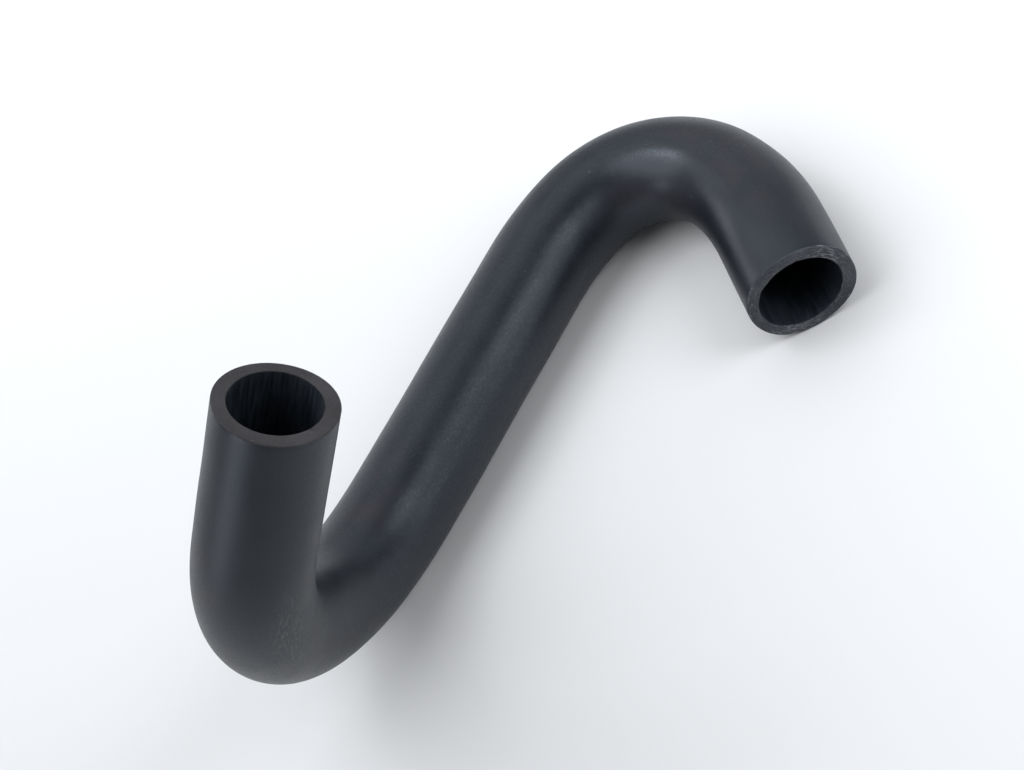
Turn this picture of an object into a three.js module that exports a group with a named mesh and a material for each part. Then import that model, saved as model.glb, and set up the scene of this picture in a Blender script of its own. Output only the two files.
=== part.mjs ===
// Crankcase breather hose: one moulded rubber tube, open right through, with a
// plain cut at each end. It is cured on a bent mandrel, so it keeps its two bends.
// Millimetres, +Z up. The hose lies on the ground plane, with its middle leg along +X.

import * as THREE from 'three';

// Section of the hose: one wall all along, and an outside diameter for each stretch
const wall = 3;
const tallLegOutside = 24.8;
const uprightBendOutside = 24.6;
const middleLegOutside = 25;
const flatBendOutside = 24.4;
const shortLegOutside = 26;

// Tall leg, which stands up out of the upright bend, and the lean of that bend towards -Y
const tallLegLength = 33.5;
const uprightBendRadius = 49.5;
const uprightBendAngle = 120.5;
const uprightBendLean = 22.5;

// Middle leg, straight along the ground
const middleLegLength = 64;

// Flat bend: an easy lead in, the tight turn, and an easy lead out, all level with the ground
const leadInRadius = 60;
const leadInAngle = 19;
const tightTurnRadius = 24.5;
const tightTurnAngle = 89;
const leadOutRadius = 53;
const leadOutAngle = 24;

// Short leg, the wider end of the hose
const shortLegLength = 20.5;

// Fineness of the facets
const sidesAround = 32;
const degreesPerFacet = 7.5;
const longestFacet = 11;

const alongX = new THREE.Vector3(1, 0, 0);
const downwards = new THREE.Vector3(0, 0, -1);

// A straight leg of the route
function leg(length) {
  return { length, turnAxis: null, turn: 0, facets: Math.ceil(length / longestFacet) };
}

// A round bend of the route, turned about an axis square to its plane
function bend(radius, degrees, turnAxis) {
  const turn = THREE.MathUtils.degToRad(degrees);
  const facets = Math.ceil(degrees / degreesPerFacet);
  return { length: radius * turn, turnAxis, turn, facets };
}

// The plane of the upright bend holds the middle leg and leans from upright towards -Y.
const leanAngle = THREE.MathUtils.degToRad(uprightBendLean);
const uprightBendAxis = new THREE.Vector3(0, -Math.cos(leanAngle), -Math.sin(leanAngle));

const tallLeg = leg(tallLegLength);
const uprightBend = bend(uprightBendRadius, uprightBendAngle, uprightBendAxis);
const middleLeg = leg(middleLegLength);
const leadIn = bend(leadInRadius, leadInAngle, downwards);
const tightTurn = bend(tightTurnRadius, tightTurnAngle, downwards);
const leadOut = bend(leadOutRadius, leadOutAngle, downwards);
const shortLeg = leg(shortLegLength);
const route = [tallLeg, uprightBend, middleLeg, leadIn, tightTurn, leadOut, shortLeg];

// Stations are the places along the route where the section stands: its centre, the
// way the hose heads there, and the direction across the section that angles count from.
function stationsAlong() {
  const heading = alongX.clone().applyAxisAngle(uprightBendAxis, -uprightBend.turn);
  const stations = [{
    centre: new THREE.Vector3(),
    heading,
    across: uprightBendAxis.clone(),
    distance: 0,
  }];
  for (const piece of route) {
    const start = stations.at(-1);
    for (let i = 1; i <= piece.facets; i += 1) {
      stations.push(stationOn(piece, start, i / piece.facets));
    }
  }
  return stations;
}

// One station a given share of the way along a leg or a bend. On a bend, everything at
// the start is turned about the bend's axis, the centre about the bend's own centre.
function stationOn(piece, start, share) {
  const distance = start.distance + share * piece.length;
  if (!piece.turnAxis) {
    const centre = start.centre.clone().addScaledVector(start.heading, share * piece.length);
    return { centre, heading: start.heading, across: start.across, distance };
  }
  const angle = share * piece.turn;
  const radius = piece.length / piece.turn;
  const inwards = piece.turnAxis.clone().cross(start.heading);
  const spoke = inwards.clone().multiplyScalar(-radius);
  const bendCentre = start.centre.clone().sub(spoke);
  return {
    centre: spoke.applyAxisAngle(piece.turnAxis, angle).add(bendCentre),
    heading: start.heading.clone().applyAxisAngle(piece.turnAxis, angle),
    across: start.across.clone().applyAxisAngle(piece.turnAxis, angle),
    distance,
  };
}

// Outside diameter at a distance along the route: the moulding draws in a little round
// each bend and is widest along the short leg. Between these places it eases smoothly.
const uprightBendStart = tallLeg.length;
const middleLegStart = uprightBendStart + uprightBend.length;
const tightTurnStart = middleLegStart + middleLeg.length + leadIn.length;
const shortLegStart = tightTurnStart + tightTurn.length + leadOut.length;
const diameters = [
  [uprightBendStart, tallLegOutside],
  [(uprightBendStart + middleLegStart) / 2, uprightBendOutside],
  [middleLegStart, middleLegOutside],
  [tightTurnStart, middleLegOutside],
  [(tightTurnStart + shortLegStart) / 2, flatBendOutside],
  [shortLegStart, shortLegOutside],
];

function outsideAt(distance) {
  const next = diameters.findIndex(([place]) => place >= distance);
  if (next === 0) {
    return diameters[0][1];
  }
  if (next === -1) {
    return diameters.at(-1)[1];
  }
  const [before, from] = diameters[next - 1];
  const [after, to] = diameters[next];
  return THREE.MathUtils.lerp(from, to, THREE.MathUtils.smoothstep(distance, before, after));
}

// The ring section of the middle leg, drawn flat and pushed straight up one unit for each
// station, then laid along the route. Inside and outside grow alike, so the wall stays.
function makeHose() {
  const ring = new THREE.Shape();
  ring.absarc(0, 0, middleLegOutside / 2, 0, 2 * Math.PI, false);
  const bore = new THREE.Path();
  bore.absarc(0, 0, middleLegOutside / 2 - wall, 0, 2 * Math.PI, true);
  ring.holes.push(bore);

  const stations = stationsAlong();
  const steps = stations.length - 1;
  const geometry = new THREE.ExtrudeGeometry(ring, {
    depth: steps,
    steps,
    curveSegments: sidesAround / 2,
    bevelEnabled: false,
  });

  const points = geometry.attributes.position;
  const point = new THREE.Vector3();
  const upwards = new THREE.Vector3();
  for (let i = 0; i < points.count; i += 1) {
    point.fromBufferAttribute(points, i);
    const station = stations[Math.round(point.z)];
    const growth = (outsideAt(station.distance) - middleLegOutside) / 2;
    const radius = Math.hypot(point.x, point.y);
    const swell = (radius + growth) / radius;
    upwards.crossVectors(station.heading, station.across);
    const { x, y } = point;
    point.copy(station.centre);
    point.addScaledVector(station.across, x * swell);
    point.addScaledVector(upwards, y * swell);
    points.setXYZ(i, point.x, point.y, point.z);
  }

  // Origin under the middle of the hose, on the ground
  geometry.computeBoundingBox();
  const middle = geometry.boundingBox.getCenter(new THREE.Vector3());
  geometry.translate(-middle.x, -middle.y, -geometry.boundingBox.min.z);
  geometry.computeVertexNormals();
  return geometry;
}

const blackRubber = new THREE.MeshStandardMaterial({
  color: 0x25272b,
  roughness: 0.55,
  metalness: 0,
});

const hose = new THREE.Mesh(makeHose(), blackRubber);
hose.name = 'breather_hose';

const part = new THREE.Group();
part.add(hose);

export default part;
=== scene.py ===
import math

import bpy
import numpy as np
from mathutils import Matrix, Vector


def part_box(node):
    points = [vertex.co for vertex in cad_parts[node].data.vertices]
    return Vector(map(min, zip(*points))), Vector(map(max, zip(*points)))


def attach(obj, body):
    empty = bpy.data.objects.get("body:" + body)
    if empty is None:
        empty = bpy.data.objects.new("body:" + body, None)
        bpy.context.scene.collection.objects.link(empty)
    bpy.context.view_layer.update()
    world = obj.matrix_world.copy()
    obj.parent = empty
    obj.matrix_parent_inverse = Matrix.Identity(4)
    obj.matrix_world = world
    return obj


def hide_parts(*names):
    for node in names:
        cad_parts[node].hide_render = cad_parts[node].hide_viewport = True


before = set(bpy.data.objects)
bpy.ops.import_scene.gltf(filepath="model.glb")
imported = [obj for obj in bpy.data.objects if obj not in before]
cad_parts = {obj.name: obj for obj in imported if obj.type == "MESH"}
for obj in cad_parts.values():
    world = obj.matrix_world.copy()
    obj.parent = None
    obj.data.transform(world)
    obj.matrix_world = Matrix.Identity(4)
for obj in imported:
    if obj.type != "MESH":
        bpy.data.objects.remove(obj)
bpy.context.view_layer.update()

# The breather hose: one tube of black moulded rubber, pushed raw over a bent mandrel and
# cured there, so it keeps its two bends. A knife cuts both ends square, and it is open right
# through. It lies on its middle leg, the flat bend and the short leg.
MM = 0.001
wall = 3 * MM
tall_leg_outside = 24.8 * MM
upright_bend_outside = 24.6 * MM
middle_leg_outside = 25 * MM
flat_bend_outside = 24.4 * MM
short_leg_outside = 26 * MM

down = np.array([0.0, 0.0, -1.0])
bend_lean = math.radians(22.5)
upright_bend_axis = np.array([0.0, -math.cos(bend_lean), -math.sin(bend_lean)])


def leg(length):
    """A straight stretch of the route: its length, no axis and no turn."""
    return length, None, 0.0


def bend(radius, degrees, axis):
    """A round stretch of the route. Its length is its radius times its turn in radians."""
    turn = math.radians(degrees)
    return radius * turn, axis, turn


tall_leg = leg(33.5 * MM)
upright_bend = bend(49.5 * MM, 120.5, upright_bend_axis)
middle_leg = leg(64 * MM)
lead_in = bend(60 * MM, 19, down)
tight_turn = bend(24.5 * MM, 89, down)
lead_out = bend(53 * MM, 24, down)
short_leg = leg(20.5 * MM)
route = [tall_leg, upright_bend, middle_leg, lead_in, tight_turn, lead_out, short_leg]
hose_length = sum(stretch[0] for stretch in route)


def turned(vector, axis, angle):
    """The vector turned about a unit axis by each of the angles: the part across the axis is
    swung round by cosine and sine, and the part along the axis stays."""
    along = axis * (axis @ vector)
    swing = np.outer(np.cos(angle), vector - along)
    return along + swing + np.outer(np.sin(angle), np.cross(axis, vector))


def along_stretch(stretch, start, share):
    """Centre, heading and side direction at each share of the way along one stretch. On a leg
    the centre goes straight on. On a bend the start is turned about the bend's axis."""
    length, axis, turn = stretch
    centre, heading, side = start
    if axis is None:
        still = np.ones((len(share), 1))
        return centre + np.outer(share * length, heading), still * heading, still * side
    spoke = -np.cross(axis, heading) * length / turn
    angle = share * turn
    swung = centre - spoke + turned(spoke, axis, angle)
    return swung, turned(heading, axis, angle), turned(side, axis, angle)


def hose_section(distance):
    """Centre, heading and side direction of the hose's section at each distance along it. The
    tall leg heads along +X, as the middle leg does, turned back by the upright bend."""
    _, axis, turn = upright_bend
    first = turned(np.array([1.0, 0.0, 0.0]), axis, np.array([-turn]))
    start = (np.zeros(3), first[0], axis)
    found = [np.zeros((len(distance), 3)) for _ in range(3)]
    passed = 0.0
    for stretch in route:
        here = distance >= passed
        share = np.clip((distance[here] - passed) / stretch[0], 0, 1)
        for values, new in zip(found, along_stretch(stretch, start, share)):
            values[here] = new
        start = tuple(value[0] for value in along_stretch(stretch, start, np.ones(1)))
        passed += stretch[0]
    return found


def outer_radius(distance):
    """Half of the outside diameter along the hose: it draws in round each bend, is widest along
    the short leg, and eases from each place to the next by a cubic with flat ends."""
    upright_start = tall_leg[0]
    middle_start = upright_start + upright_bend[0]
    tight_start = middle_start + middle_leg[0] + lead_in[0]
    short_start = hose_length - short_leg[0]
    places = np.array([
        upright_start,
        (upright_start + middle_start) / 2,
        middle_start,
        tight_start,
        (tight_start + short_start) / 2,
        short_start,
    ])
    outsides = np.array([
        tall_leg_outside, upright_bend_outside, middle_leg_outside,
        middle_leg_outside, flat_bend_outside, short_leg_outside,
    ])
    after = np.clip(np.searchsorted(places, distance), 1, len(places) - 1)
    share = np.clip((distance - places[after - 1]) / np.diff(places)[after - 1], 0, 1)
    ease = share ** 2 * (3 - 2 * share)
    return (outsides[after - 1] * (1 - ease) + outsides[after] * ease) / 2


# The zones of the surface are numbered in the order of the hose's materials.
moulded_zone = 0
cut_zone = 1
bore_zone = 2


def closed_profile():
    """The hose cut along its length, as one closed line: out along the outside, round the
    edges of the short leg's mouth, back along the bore, and round the edges of the tall leg's
    mouth. Gives each point's distance along the hose, its radius, and the zone it is in."""
    outer_edge = 0.3 * MM
    inner_edge = 0.2 * MM
    rows_outside = 300
    rows_in_bore = 130
    rows_across_cut = 14
    rows_round_edge = 4
    outside = np.linspace(outer_edge, hose_length - outer_edge, rows_outside)
    bore = np.linspace(hose_length - inner_edge, inner_edge, rows_in_bore)
    rounding = np.linspace(0, math.pi / 2, rows_round_edge + 2)[1:-1]
    rows = []

    def add(distance, radius, zone):
        rows.append(np.column_stack([distance, radius, np.full(len(distance), zone)]))

    add(outside, outer_radius(outside), moulded_zone)
    for end, way in ((hose_length, 1), (0.0, -1)):
        big = outer_radius(np.array([end]))[0]
        small = big - wall
        outer_round = (
            end - way * outer_edge * (1 - np.sin(rounding)),
            big - outer_edge * (1 - np.cos(rounding)),
        )
        flat_cut = (
            np.full(rows_across_cut, end),
            np.linspace(big - outer_edge, small + inner_edge, rows_across_cut),
        )
        inner_round = (
            end - way * inner_edge * (1 - np.cos(rounding)),
            small + inner_edge * (1 - np.sin(rounding)),
        )
        inwards = (outer_round, flat_cut, inner_round)
        if way == 1:
            for distance, radius in inwards:
                add(distance, radius, cut_zone)
            add(bore, outer_radius(bore) - wall, bore_zone)
        else:
            for distance, radius in reversed(inwards):
                add(distance[::-1], radius[::-1], cut_zone)
    return np.concatenate(rows).T


def fading(distance, reach):
    """One at the start, falling smoothly to nothing at the reach."""
    share = np.clip(distance / reach, 0, 1)
    return (1 - share) ** 2 * (1 + 2 * share)


def lobes(angle, count, towards):
    """A wave round the section with that many crests, the first at an angle in degrees."""
    return np.cos(count * (angle - math.radians(towards)))


def out_of_round(distance, angle, inside):
    """How far the cured hose stands off a true circle: each mouth is a little oval, with its
    bore off centre, and the short leg's is squarish as well. The number before each wave is
    its height in millimetres. All of it dies out along the leg."""
    tall_reach = 26 * MM
    short_reach = 22 * MM
    tall = 0.2 * lobes(angle, 2, -82) + 0.15 * lobes(angle, 3, -51) * (1 - inside)
    tall = tall + 0.25 * lobes(angle, 1, 232) * inside
    short = 0.34 * lobes(angle, 2, 13) + 0.2 * lobes(angle, 4, 32) * (1 - inside)
    short = short + 0.3 * lobes(angle, 1, 0) * inside
    tall = tall * fading(distance, tall_reach)
    short = short * fading(hose_length - distance, short_reach)
    return (tall + short) * MM


def slow_waves(distance, angle, height):
    """The faint unevenness of the moulded skin: waves that run along and round the hose, each
    of its own length and phase, added up to about the height given."""
    waves = 14
    shortest = 14
    longest = 60
    random = np.random.default_rng(4)
    total = np.zeros(np.broadcast(distance, angle).shape)
    for _ in range(waves):
        length = random.uniform(shortest, longest) * MM
        turns = random.integers(-3, 4)
        phase = random.uniform(0, 2 * math.pi)
        total += np.cos(2 * math.pi * distance / length + turns * angle + phase)
    return height * total / math.sqrt(waves)


def knife_cut(angle, across, end):
    """How far the knife went into the end, which is never past it: the cut leans a little, and
    it wavers as the blade is pushed round. The cut of the short leg is the rougher, with wide
    and narrow ridges across it."""
    tall_depth = 0.12 * MM
    short_depth = 0.26 * MM
    wide_ridge = 0.42 * MM
    narrow_ridge = 0.19 * MM
    if end == "tall":
        waver = 0.4 + 0.3 * lobes(angle, 1, 50) + 0.1 * lobes(angle, 3, 40)
        return tall_depth * waver
    waver = 0.5 + 0.22 * lobes(angle, 1, 60) + 0.12 * lobes(angle, 3, 10) + 0.08 * lobes(angle, 7, 95)
    ridges = 0.06 * np.cos(across / wide_ridge) + 0.04 * np.cos(across / narrow_ridge + 1.3)
    return short_depth * (waver + ridges)


def nick(angle, radius, towards, at_radius, size, depth):
    """A small round bite out of a cut edge: as deep as said at its middle, and falling off on
    a bell curve of the distance from there over the size."""
    turn = np.angle(np.exp(1j * (angle - math.radians(towards))))
    apart = np.hypot(turn * radius, radius - at_radius)
    return depth * np.exp(-(apart / size) ** 2)


around = 192
profile_distance, profile_radius, profile_zone = closed_profile()
angle = np.repeat(np.arange(around)[None, :] * 2 * math.pi / around, len(profile_distance), axis=0)
straight_distance = np.repeat(profile_distance[:, None], around, axis=1)
straight_radius = np.repeat(profile_radius[:, None], around, axis=1)

# The wall stays nearly even in thickness, apart from the mouths, where the share from the outer
# to the inner edge blends the two outlines. The skin is drawn in a little, so that the hose
# stays inside the solid's box.
drawn_in = 0.07 * MM
wave_height = 0.04 * MM
depth_in_wall = np.clip((outer_radius(straight_distance) - straight_radius) / wall, 0, 1)
hose_radius = straight_radius - drawn_in
hose_radius = hose_radius + out_of_round(straight_distance, angle, 0) * (1 - depth_in_wall)
hose_radius = hose_radius + out_of_round(straight_distance, angle, 1) * depth_in_wall
hose_radius = hose_radius + slow_waves(straight_distance, angle, wave_height) * (1 - depth_in_wall)

blade_direction = 0.6
knife_reach = 6 * MM
across_cut = hose_radius * np.sin(angle + blade_direction)
tall_cut = knife_cut(angle, across_cut, "tall")
tall_cut += nick(angle, hose_radius, towards=14, at_radius=9.6 * MM, size=0.5 * MM, depth=0.3 * MM)
short_cut = knife_cut(angle, across_cut, "short")
short_cut += nick(angle, hose_radius, towards=236, at_radius=10.2 * MM, size=0.5 * MM, depth=0.35 * MM)
short_cut += nick(angle, hose_radius, towards=205, at_radius=12.8 * MM, size=0.6 * MM, depth=0.3 * MM)
short_cut += nick(angle, hose_radius, towards=300, at_radius=10.0 * MM, size=0.9 * MM, depth=0.3 * MM)
hose_distance = straight_distance + tall_cut * fading(straight_distance, knife_reach)
hose_distance = hose_distance - short_cut * fading(hose_length - straight_distance, knife_reach)


def hose_surface(distance, base, radius, angle):
    """Each point of the hose: from the centre of its row's section, out by the radius at the
    angle round the heading, and along the heading by what it lies past the row's distance."""
    centre, heading, side = hose_section(base)
    other = np.cross(heading, side)
    across = (radius * np.cos(angle))[..., None] * side[:, None]
    upwards = (radius * np.sin(angle))[..., None] * other[:, None]
    shift = (distance - base[:, None])[..., None] * heading[:, None]
    return centre[:, None] + across + upwards + shift


points = hose_surface(hose_distance, profile_distance, hose_radius, angle).reshape(-1, 3)

# The route is worked out from the tall mouth, so the finished surface is set in the CAD box.
low, high = (np.array(corner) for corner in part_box("breather_hose"))
own_low, own_high = points.min(axis=0), points.max(axis=0)
move = (low + high) / 2 - (own_low + own_high) / 2
move[2] = low[2] - own_low[2]
points = points + move

rows = len(profile_distance)
row, column = np.meshgrid(np.arange(rows), np.arange(around), indexing="ij")
next_row = (row + 1) % rows
next_column = (column + 1) % around
quads = np.stack([
    row * around + column,
    row * around + next_column,
    next_row * around + next_column,
    next_row * around + column,
], axis=-1).reshape(-1, 4)

hose_mesh = bpy.data.meshes.new("moulded_hose")
hose_mesh.from_pydata(points.tolist(), [], quads.tolist())
hose_mesh.polygons.foreach_set("use_smooth", np.ones(len(quads), dtype=bool))

# A face between two zones belongs to the cut.
face_zone = np.where(profile_zone[row] == profile_zone[next_row], profile_zone[row], cut_zone)
hose_mesh.polygons.foreach_set("material_index", face_zone.astype(np.int32).ravel())

# Every pattern follows the hose: the attribute gives each point's place, in millimetres, as
# if the hose were pulled out straight along X.
unbent = np.stack([straight_distance, hose_radius * np.cos(angle), hose_radius * np.sin(angle)], axis=-1)
straight_place = hose_mesh.attributes.new("straight_place", "FLOAT_VECTOR", "POINT")
straight_place.data.foreach_set("vector", (unbent / MM).ravel().astype(np.float32))
hose_mesh.update()

hose = bpy.data.objects.new("moulded_hose", hose_mesh)
bpy.context.collection.objects.link(hose)

# Rubber grain is the look that all of the rubber shares: fine mottling, slow clouds of bloom,
# and specks of dust. Stretch says how many times longer the mottling is along the hose than
# round it.


def put(tree, kind, values=(), **settings):
    """One node with its settings. Each value is a number, a vector or a colour, or another
    node's output to link."""
    node = tree.nodes.new("ShaderNode" + kind)
    for setting, value in settings.items():
        setattr(node, setting, value)
    for socket, value in dict(values).items():
        if isinstance(value, bpy.types.NodeSocket):
            tree.links.new(value, node.inputs[socket])
        else:
            node.inputs[socket].default_value = value
    return node


def worked(tree, operation, first, second=0.0, third=0.0):
    """The result of one operation on plain numbers."""
    values = {0: first, 1: second, 2: third}
    return put(tree, "Math", values, operation=operation).outputs[0]


def spread(tree, value, low, high, to_low=0.0, to_high=1.0):
    """A value eased from one range to another, smoothly at both ends, and held beyond them."""
    values = {"Value": value, "From Min": low, "From Max": high, "To Min": to_low, "To Max": to_high}
    return put(tree, "MapRange", values, interpolation_type="SMOOTHSTEP").outputs["Result"]


def blended(tree, amount, below, above):
    """One colour passing into another."""
    values = {"Factor": amount, "A": below, "B": above}
    return put(tree, "Mix", values, data_type="RGBA").outputs["Result"]


cloud_scale = 0.11
dust_scale = 0.24
largest_speck = 0.06
rubber_grain = bpy.data.node_groups.new("rubber_grain", "ShaderNodeTree")
for socket, kind in (("Place", "Vector"), ("Grain Scale", "Float"), ("Stretch", "Float")):
    rubber_grain.interface.new_socket(socket, in_out="INPUT", socket_type="NodeSocket" + kind)
for socket in ("Grain", "Cloud", "Speck"):
    rubber_grain.interface.new_socket(socket, in_out="OUTPUT", socket_type="NodeSocketFloat")
given = rubber_grain.nodes.new("NodeGroupInput").outputs
parts = put(rubber_grain, "SeparateXYZ", {0: given["Place"]}).outputs
shorter = worked(rubber_grain, "DIVIDE", parts["X"], given["Stretch"])
drawn = put(rubber_grain, "CombineXYZ", {"X": shorter, "Y": parts["Y"], "Z": parts["Z"]}).outputs[0]
fine = put(rubber_grain, "TexNoise", {
    "Vector": drawn, "Scale": given["Grain Scale"], "Detail": 2.0, "Roughness": 0.6,
}).outputs[0]
slow = put(rubber_grain, "TexNoise", {
    "Vector": given["Place"], "Scale": cloud_scale, "Detail": 2.0, "Roughness": 0.6,
}).outputs[0]

# About half of the dust's cells hold a speck, each of its own size.
dust = put(rubber_grain, "TexVoronoi", {"Vector": given["Place"], "Scale": dust_scale})
chance = put(rubber_grain, "SeparateColor", {0: dust.outputs["Color"]}).outputs[0]
size = spread(rubber_grain, chance, 0.5, 1.0, 0.0, largest_speck)
speck = worked(rubber_grain, "LESS_THAN", dust.outputs["Distance"], size)
given_out = rubber_grain.nodes.new("NodeGroupOutput").inputs
rubber_grain.links.new(spread(rubber_grain, fine, 0.3, 0.7), given_out["Grain"])
rubber_grain.links.new(spread(rubber_grain, slow, 0.32, 0.68), given_out["Cloud"])
rubber_grain.links.new(speck, given_out["Speck"])

# The moulded outside: satin black with a cool bloom. Wax has come up brownish in patches, and
# talc from the mould has stayed on the outside of the upright bend. The crest of the flat bend
# is rubbed smoother and lightly scratched, and its underside is lightened with painted light.


def rubber(name, grain_scale, stretch):
    """A new rubber material: its tree, its shader, the straight place and the shared grain."""
    material = bpy.data.materials.new(name)
    material.use_nodes = True
    tree = material.node_tree
    hose_mesh.materials.append(material)
    place = put(tree, "Attribute", attribute_name="straight_place").outputs["Vector"]
    grain = put(tree, "Group", node_tree=rubber_grain)
    tree.links.new(place, grain.inputs["Place"])
    grain.inputs["Grain Scale"].default_value = grain_scale
    grain.inputs["Stretch"].default_value = stretch
    return tree, tree.nodes["Principled BSDF"], place, grain.outputs


def finish(tree, shader, colour, roughness, height):
    """Colour, roughness and relief joined to the shader. The height is in millimetres."""
    tree.links.new(colour, shader.inputs["Base Color"])
    tree.links.new(roughness, shader.inputs["Roughness"])
    relief = put(tree, "Bump", {"Height": height, "Distance": MM, "Strength": 1.0})
    tree.links.new(relief.outputs["Normal"], shader.inputs["Normal"])


skin_radius = 12.4


def near(tree, place, along, turns, length, width, radius=skin_radius):
    """One at a spot, which is given by millimetres along the hose, turns round it and its
    radius there. A point's offset from the spot is divided by the length along the hose and
    by the width across it, and where the size of that is one, the spot has faded away."""
    angle = 2 * math.pi * turns
    middle = (along, radius * math.cos(angle), radius * math.sin(angle))
    offset = put(tree, "VectorMath", {0: place, 1: middle}, operation="SUBTRACT").outputs[0]
    scaled = put(tree, "VectorMath", {0: offset, 1: (1 / length, 1 / width, 1 / width)},
                 operation="MULTIPLY").outputs[0]
    apart = put(tree, "VectorMath", {0: scaled}, operation="LENGTH").outputs["Value"]
    return spread(tree, apart, 1.0, 0.15)


deep_black = (0.0035, 0.0055, 0.0085, 1)
cloudy_black = (0.0065, 0.009, 0.0125, 1)
wax_brown = (0.0155, 0.0095, 0.0125, 1)
painted_light_grey = (0.03, 0.029, 0.036, 1)
talc_grey = (0.09, 0.095, 0.085, 1)
scratch_grey = (0.05, 0.052, 0.056, 1)
fleck_grey = (0.019, 0.022, 0.026, 1)
dust_grey = (0.045, 0.048, 0.052, 1)

tree, shader, place, grain = rubber("moulded_rubber", 2.6, 1.0)
shader.inputs["Specular Tint"].default_value = (0.8, 0.885, 1.0, 1)
shader.inputs["Specular IOR Level"].default_value = 0.45
colour = blended(tree, grain["Cloud"], deep_black, cloudy_black)

wax = put(tree, "TexNoise", {"Vector": place, "Scale": 0.14, "Detail": 2.0}).outputs[0]
wax = spread(tree, wax, 0.3, 0.7)
wax_spots = worked(tree, "MAXIMUM", near(tree, place, 268, 0.67, 34, 9), near(tree, place, 128, 0.72, 26, 8))
wax_spots = worked(tree, "MAXIMUM", wax_spots, near(tree, place, 38, 0.31, 12, 6))
wax_amount = worked(tree, "MULTIPLY", wax, worked(tree, "MULTIPLY_ADD", wax_spots, 0.8, 0.12))
colour = blended(tree, wax_amount, colour, wax_brown)

# Painted light: a lighter, purplish patch on the underside of the flat bend's crest, mostly standing in for
# light there, with a little of the rubber's own dull tint.
crest_underside_painted_light = near(tree, place, 246, 0.85, 34, 10)
colour = blended(tree, worked(tree, "MULTIPLY", crest_underside_painted_light, 0.8), colour, painted_light_grey)

talc_lines = put(tree, "TexNoise", {
    "Vector": put(tree, "Mapping", {
        "Vector": place, "Rotation": (0.9, 0.0, 0.8), "Scale": (0.5, 2.2, 2.2),
    }).outputs[0],
    "Scale": 0.9, "Detail": 3.0, "Roughness": 0.65,
}).outputs[0]
talc_area = near(tree, place, 54, 0.063, 22, 6)
talc = worked(tree, "MULTIPLY", spread(tree, talc_lines, 0.48, 0.63), talc_area)
colour = blended(tree, worked(tree, "MULTIPLY", talc, 0.75), colour, talc_grey)

scratch_lines = put(tree, "TexNoise", {
    "Vector": put(tree, "Mapping", {"Vector": place, "Scale": (0.06, 1.6, 1.6)}).outputs[0],
    "Scale": 2.0, "Detail": 2.0, "Roughness": 0.7,
}).outputs[0]
scratches = spread(tree, scratch_lines, 0.6, 0.68)
crest = near(tree, place, 246, 0.75, 16, 6)
scratches = worked(tree, "MULTIPLY", scratches, worked(tree, "MULTIPLY_ADD", crest, 0.85, 0.15))
colour = blended(tree, worked(tree, "MULTIPLY", scratches, 0.5), colour, scratch_grey)

# Flecks lie from the lower half of the upright bend to the end of the flat bend.
along = put(tree, "SeparateXYZ", {0: place}).outputs["X"]
between_legs = worked(tree, "MULTIPLY", spread(tree, along, 85, 120), spread(tree, along, 278, 262))
flecks = put(tree, "TexNoise", {"Vector": place, "Scale": 1.7, "Detail": 2.0, "Roughness": 0.65}).outputs[0]
flecks = worked(tree, "MULTIPLY", spread(tree, flecks, 0.44, 0.7), between_legs)
colour = blended(tree, worked(tree, "MULTIPLY", flecks, 0.5), colour, fleck_grey)

# Five specks of dust have places of their own, besides those of the grain.
marks = worked(tree, "MULTIPLY", grain["Speck"], 0.5)
for mark_along, mark_turns in ((180, 0.81), (227, 0.73), (260, 0.66), (266, 0.6), (264, 0.835)):
    marks = worked(tree, "MAXIMUM", marks, near(tree, place, mark_along, mark_turns, 0.5, 0.4))
colour = blended(tree, marks, colour, dust_grey)

roughness = worked(tree, "MULTIPLY_ADD", grain["Grain"], 0.08, 0.35)
roughness = worked(tree, "MULTIPLY_ADD", grain["Cloud"], 0.05, roughness)
roughness = worked(tree, "MULTIPLY_ADD", flecks, -0.05, roughness)
roughness = worked(tree, "MULTIPLY_ADD", talc, 0.15, roughness)
roughness = worked(tree, "MULTIPLY_ADD", marks, 0.2, roughness)
rubbed = near(tree, place, 244, 0.74, 44, 7)
roughness = worked(tree, "MULTIPLY_ADD", rubbed, -0.12, roughness)
dulled = near(tree, place, 160, 0.81, 26, 9)
roughness = worked(tree, "MULTIPLY_ADD", dulled, 0.06, roughness)

peel = put(tree, "TexNoise", {"Vector": place, "Scale": 0.55, "Detail": 1.0}).outputs[0]
height = worked(tree, "MULTIPLY", grain["Grain"], 0.003)
height = worked(tree, "MULTIPLY_ADD", flecks, 0.0055, height)
height = worked(tree, "MULTIPLY_ADD", peel, 0.02, height)
height = worked(tree, "MULTIPLY_ADD", scratches, -0.006, height)
finish(tree, shader, colour, roughness, height)

# The cut faces: dull, browner rubber that the knife laid open. The tall leg's cut is smooth.
# The short leg's is greyer and torn, in pale streaks that run the way the blade went round.
smooth_dark = (0.024, 0.0225, 0.0255, 1)
smooth_pale = (0.036, 0.034, 0.038, 1)
torn_dark = (0.032, 0.036, 0.045, 1)
torn_pale = (0.058, 0.063, 0.075, 1)
streak_grey = (0.2, 0.205, 0.22, 1)
streak_black = (0.007, 0.008, 0.011, 1)
grain_black = (0.01, 0.01, 0.011, 1)

tree, shader, place, grain = rubber("cut_rubber", 2.2, 1.0)
shader.inputs["Specular IOR Level"].default_value = 0.35
along = put(tree, "SeparateXYZ", {0: place}).outputs["X"]
torn = worked(tree, "GREATER_THAN", along, hose_length / 2 / MM)
smooth_colour = blended(tree, grain["Cloud"], smooth_dark, smooth_pale)
torn_colour = blended(tree, grain["Cloud"], torn_dark, torn_pale)
colour = blended(tree, torn, smooth_colour, torn_colour)

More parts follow.
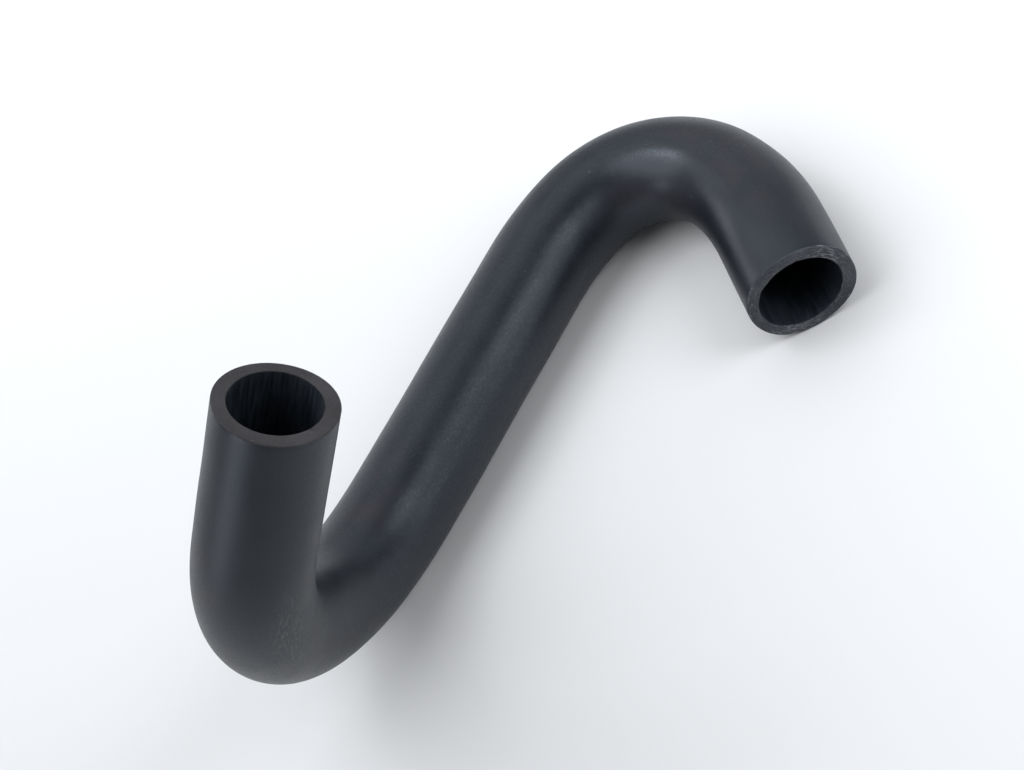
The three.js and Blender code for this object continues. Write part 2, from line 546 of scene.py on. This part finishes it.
across = put(tree, "VectorMath", {0: place, 1: (0.0, 1.0, 1.0)}, operation="MULTIPLY").outputs[0]
outwards = put(tree, "VectorMath", {0: across}, operation="NORMALIZE").outputs[0]
round_rim = put(tree, "VectorMath", {0: outwards, "Scale": 9.0}, operation="SCALE").outputs[0]
off_centre = put(tree, "VectorMath", {0: across}, operation="LENGTH").outputs["Value"]
across_wall = worked(tree, "MULTIPLY", off_centre, 3.4)
blade_place = put(tree, "VectorMath", {
    0: round_rim, 1: put(tree, "CombineXYZ", {"X": across_wall}).outputs[0],
}, operation="ADD").outputs[0]
streaks = put(tree, "TexNoise", {
    "Vector": blade_place, "Scale": 0.8, "Detail": 5.0, "Roughness": 0.62, "Distortion": 0.5,
}).outputs[0]
scuffed = near(tree, place, 302.3, 0.55, 8, 7, radius=11.8)
scuffed = worked(tree, "MAXIMUM", scuffed, near(tree, place, 302.3, 0.12, 8, 8, radius=10.5))
pale_streaks = spread(tree, worked(tree, "MULTIPLY_ADD", scuffed, 0.1, streaks), 0.54, 0.72)
pale_streaks = worked(tree, "MULTIPLY", pale_streaks, worked(tree, "MULTIPLY_ADD", torn, 0.9, 0.1))
colour = blended(tree, worked(tree, "MULTIPLY", pale_streaks, 0.8), colour, streak_grey)
dark_streaks = worked(tree, "MULTIPLY", spread(tree, streaks, 0.45, 0.3), torn)
colour = blended(tree, worked(tree, "MULTIPLY", dark_streaks, 0.6), colour, streak_black)
colour = blended(tree, worked(tree, "MULTIPLY", grain["Grain"], 0.22), colour, grain_black)
roughness = worked(tree, "MULTIPLY_ADD", grain["Grain"], 0.15, 0.6)
height = worked(tree, "MULTIPLY", streaks, worked(tree, "MULTIPLY_ADD", torn, 0.3, 0.05))
height = worked(tree, "MULTIPLY_ADD", grain["Grain"], 0.01, height)
finish(tree, shader, colour, roughness, height)

# The bore: the skin that lay on the mandrel, shinier than the cuts, with fine lines drawn along
# it as it was pulled off. Just inside the tall mouth a lighter patch is a painted highlight, and one line
# there is pale.
bore_radius = 9.2
bore_black = (0.005, 0.0075, 0.011, 1)
bore_line_grey = (0.015, 0.02, 0.028, 1)
bore_dust_grey = (0.07, 0.07, 0.075, 1)
bore_highlight_grey = (0.03, 0.033, 0.045, 1)
pale_line_grey = (0.16, 0.16, 0.17, 1)

tree, shader, place, grain = rubber("bore_rubber", 1.6, 14.0)
shader.inputs["Specular Tint"].default_value = (0.84, 0.92, 1.0, 1)
shader.inputs["Specular IOR Level"].default_value = 0.5
colour = blended(tree, grain["Grain"], bore_black, bore_line_grey)
colour = blended(tree, worked(tree, "MULTIPLY", grain["Speck"], 0.4), colour, bore_dust_grey)
# Painted highlight: a lighter, bluish patch on the bore's wall just inside the tall mouth, where the side of
# the bore catches the light.
bore_painted_highlight = near(tree, place, 3.0, 0.9, 11, 4, radius=bore_radius)
colour = blended(tree, worked(tree, "MULTIPLY", bore_painted_highlight, 0.6), colour, bore_highlight_grey)
drawn_line = near(tree, place, 3.5, 0.94, 4.5, 0.6, radius=bore_radius)
colour = blended(tree, worked(tree, "MULTIPLY", drawn_line, 0.85), colour, pale_line_grey)
roughness = worked(tree, "MULTIPLY_ADD", grain["Grain"], 0.16, 0.48)
height = worked(tree, "MULTIPLY", grain["Grain"], 0.012)
finish(tree, shader, colour, roughness, height)

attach(hose, "root")
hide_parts("breather_hose")

# The floor: a wide sweep of pale paper, laid flat under the hose. It is no part of the hose,
# and is there to carry it and to take its shadow.
floor_half = 1.5
floor_corners = [
    (-floor_half, -floor_half, 0),
    (floor_half, -floor_half, 0),
    (floor_half, floor_half, 0),
    (-floor_half, floor_half, 0),
]
floor_mesh = bpy.data.meshes.new("floor")
floor_mesh.from_pydata(floor_corners, [], [(0, 1, 2, 3)])
floor = bpy.data.objects.new("floor", floor_mesh)
bpy.context.collection.objects.link(floor)
pale = bpy.data.materials.new("pale_floor")
pale.use_nodes = True
paper = pale.node_tree.nodes["Principled BSDF"]
paper.inputs["Base Color"].default_value = (0.72, 0.72, 0.72, 1)
paper.inputs["Roughness"].default_value = 0.8
floor_mesh.materials.append(pale)

# The light: softboxes high on the left and low cards beyond the sweep, with paper lanterns close
# by on the right, so that the light falls off towards the left. The room itself is pale behind
# the hose, fills the shadows a little, and hardly shows in the rubber.
shown_in_rubber = 0.02
added_fill = 0.24
added_backdrop = 0.9
world = bpy.data.worlds.new("studio")
world.use_nodes = True
bpy.context.scene.world = world
room = world.node_tree
ray = put(room, "LightPath").outputs
strength = worked(room, "MULTIPLY_ADD", ray["Is Diffuse Ray"], added_fill, shown_in_rubber)
strength = worked(room, "MULTIPLY_ADD", ray["Is Camera Ray"], added_backdrop, strength)
room.links.new(strength, room.nodes["Background"].inputs["Strength"])
room.nodes["Background"].inputs["Color"].default_value = (0.95, 0.97, 1.0, 1)


def direction(azimuth, elevation):
    """Unit vector at an azimuth from +Y towards +X and an elevation, both in degrees."""
    azimuth, elevation = math.radians(azimuth), math.radians(elevation)
    return Vector((
        math.sin(azimuth) * math.cos(elevation),
        math.cos(azimuth) * math.cos(elevation),
        math.sin(elevation),
    ))


def softbox(name, azimuth, elevation, half_angle, radiance, distance=1.0):
    """A round softbox that faces the hose. Its size comes from the half angle that it fills,
    and its power is four times its area times its radiance."""
    radius = distance * math.tan(math.radians(half_angle))
    data = bpy.data.lights.new(name, "AREA")
    data.shape = "DISK"
    data.size = 2 * radius
    data.energy = 4 * math.pi * radius ** 2 * radiance
    hang(name, data, azimuth, elevation, distance)


def lantern(name, azimuth, elevation, half_angle, radiance):
    """A paper lantern close by, which shines all round, so that it leaves no edge on the floor.
    Its power is its radiance times pi times the area of its ball."""
    distance = 0.4
    radius = distance * math.sin(math.radians(half_angle))
    data = bpy.data.lights.new(name, "POINT")
    data.shadow_soft_size = radius
    data.use_soft_falloff = False
    data.energy = 4 * math.pi ** 2 * radius ** 2 * radiance
    hang(name, data, azimuth, elevation, distance)


def hang(name, data, azimuth, elevation, distance):
    """The light hung in its direction from the hose, turned to face it, and out of sight."""
    data.color = (0.94, 0.965, 1.0)
    light = bpy.data.objects.new(name, data)
    bpy.context.collection.objects.link(light)
    towards = direction(azimuth, elevation)
    turn = towards.to_track_quat("Z", "Y").to_matrix().to_4x4()
    light.matrix_world = Matrix.Translation(towards * distance) @ turn
    light.visible_camera = False


# Each light has its azimuth, elevation, half angle and radiance, and a low card its distance too.
card_distance = 2.5
softbox("high_left", -45, 58, 30, 1.85)
softbox("high_far", -10, 60, 8, 3.0)
softbox("left_card", -66, 6, 14, 2.8, card_distance)
softbox("side_card", -86, 6, 8, 1.0, card_distance)
softbox("far_card", 0, 6, 8, 5.2, card_distance)
softbox("behind_card", 160, 8, 8, 4.6, card_distance)
lantern("far_low", 20, 20, 16, 1.05)
lantern("far_high", 20, 50, 18, 0.7)
lantern("right_far", 60, 20, 22, 0.7)
lantern("right_high", 65, 50, 18, 1.1)
lantern("top", 60, 80, 18, 0.7)
lantern("right_low", 100, 20, 22, 0.7)
lantern("right_behind", 148, 40, 16, 4.7)

bpy.context.scene.view_settings.view_transform = "Standard"

# The camera stands where the photograph was taken from: half a metre away, looking down on the
# hose and rolled to one side. Its angles are in degrees and its lengths in millimetres.
lens_length = 87.92
view_azimuth = 30.22
view_elevation = -47.51
view_roll = -37.01
view_distance = 536.75
camera_data = bpy.data.cameras.new("camera")
camera = bpy.data.objects.new("camera", camera_data)
bpy.context.collection.objects.link(camera)
bpy.context.scene.camera = camera
camera_data.sensor_width = 36
camera_data.lens = lens_length
camera_data.clip_start = 0.01
aim = Vector((-3.05, 0.87, 39.28)) * MM
away = -direction(view_azimuth, view_elevation)
rolled = Matrix.Rotation(math.radians(view_roll), 4, "Z")
turn_to_view = away.to_track_quat("Z", "Y").to_matrix().to_4x4() @ rolled
camera.matrix_world = Matrix.Translation(aim + away * view_distance * MM) @ turn_to_view
